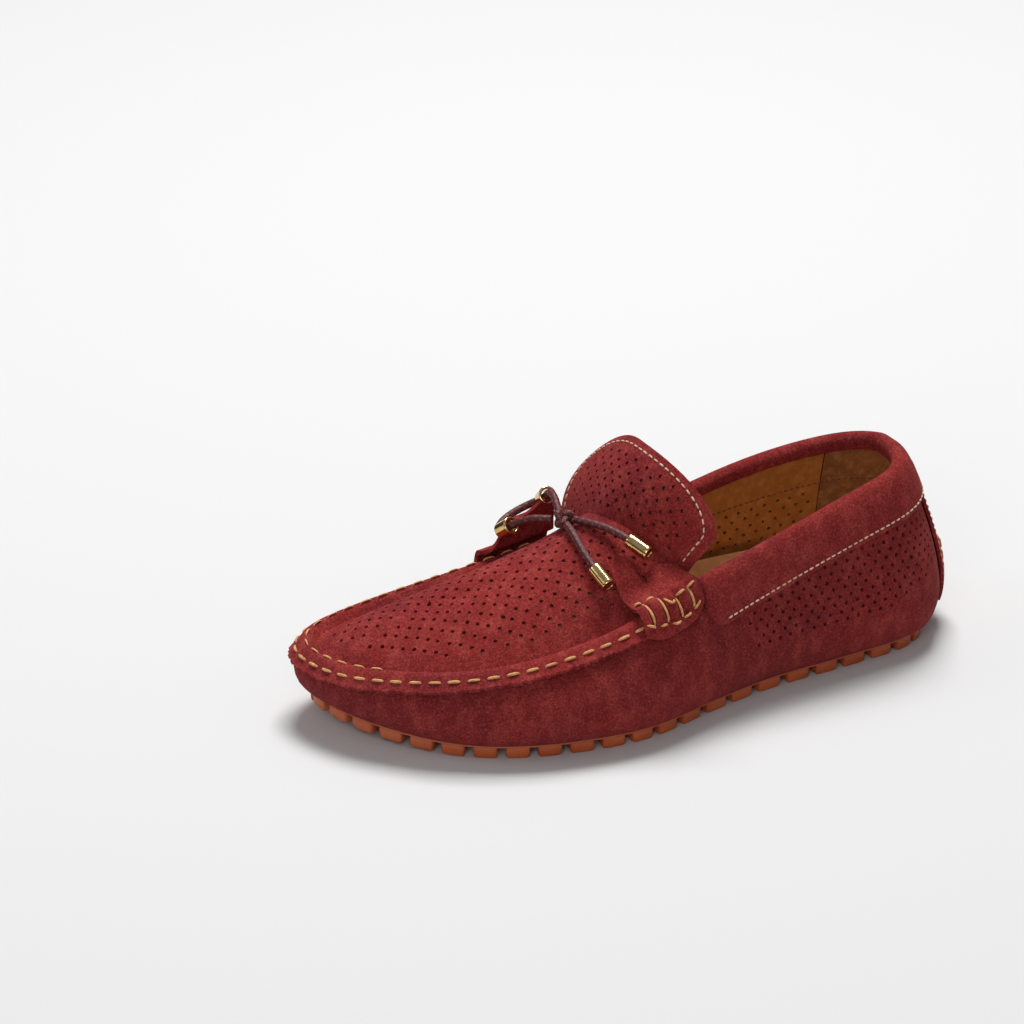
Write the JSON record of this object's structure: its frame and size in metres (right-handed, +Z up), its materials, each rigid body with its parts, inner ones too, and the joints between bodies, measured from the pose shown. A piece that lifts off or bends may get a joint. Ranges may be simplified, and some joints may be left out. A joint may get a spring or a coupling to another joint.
{
  "type": "driving moccasin shoe",
  "caption": "Left suede driving moccasin with a perforated apron, raised tongue, lace tie through metal tubes and a nubbed rubber sole.",
  "frame": {"origin": "under the middle of the whole shoe, on the ground its sole rests on", "axes": "+X from heel to toe, +Y to the outer side of the left foot, +Z up"},
  "size_m": [0.2866, 0.1136, 0.104],
  "materials": {
    "suede": "brushed suede, burgundy red",
    "lining": "matt tan lining leather",
    "board": "bonded leather board, hidden",
    "foam": "soft padding, hidden",
    "footbed": "matt light tan leather",
    "gum_rubber": "orange gum rubber, satin",
    "gold_metal": "polished light gold plating",
    "lace": "braided waxed cord, burgundy brown",
    "thread": "tan and cream waxed thread"
  },
  "bodies": {
    "root": {"moccasin_wrap": "suede", "insole_board": "board", "insole_foam": "foam", "sock_lining": "footbed", "rubber_sole": "gum_rubber", "backstay": "suede", "heel_rubber_tab": "gum_rubber", "heel_counter": "board", "toe_puff": "board", "heel_grip_lining": "lining", "lining_lateral": "lining", "lining_medial": "lining", "collar_band": "suede", "collar_foam": "foam", "apron": "suede", "apron_lining": "lining", "saddle_tab_lateral": "suede", "saddle_tab_medial": "suede", "eyelet_tube_rear": "gold_metal", "eyelet_tube_front": "gold_metal", "lace_knot": "lace", "lace_loop": "lace", "apron_thread": "thread", "collar_thread": "thread"},
    "tongue": {"tongue": "suede", "tongue_lining": "lining"},
    "lace_upper": {"lace_end_upper": "lace", "aglet_upper": "gold_metal"},
    "lace_lower": {"lace_end_lower": "lace", "aglet_lower": "gold_metal"}
  },
  "joints": [
    {"name": "tongue_flex", "type": "hinge", "parent": "root", "child": "tongue", "pos_m": [0.015, 0, 0.0505], "axis": [0, 1, 0], "range_deg": [-9, 0], "stiffness_Nm_per_rad": 0.08},
    {"name": "lace_upper_lift", "type": "hinge", "parent": "root", "child": "lace_upper", "pos_m": [0.0291, -0.0146, 0.073], "axis": [0.927, 0.375, 0], "range_deg": [0, 50]},
    {"name": "lace_lower_lift", "type": "hinge", "parent": "root", "child": "lace_lower", "pos_m": [0.0291, -0.0146, 0.073], "axis": [0.9989, -0.047, 0], "range_deg": [0, 50]}
  ]
}
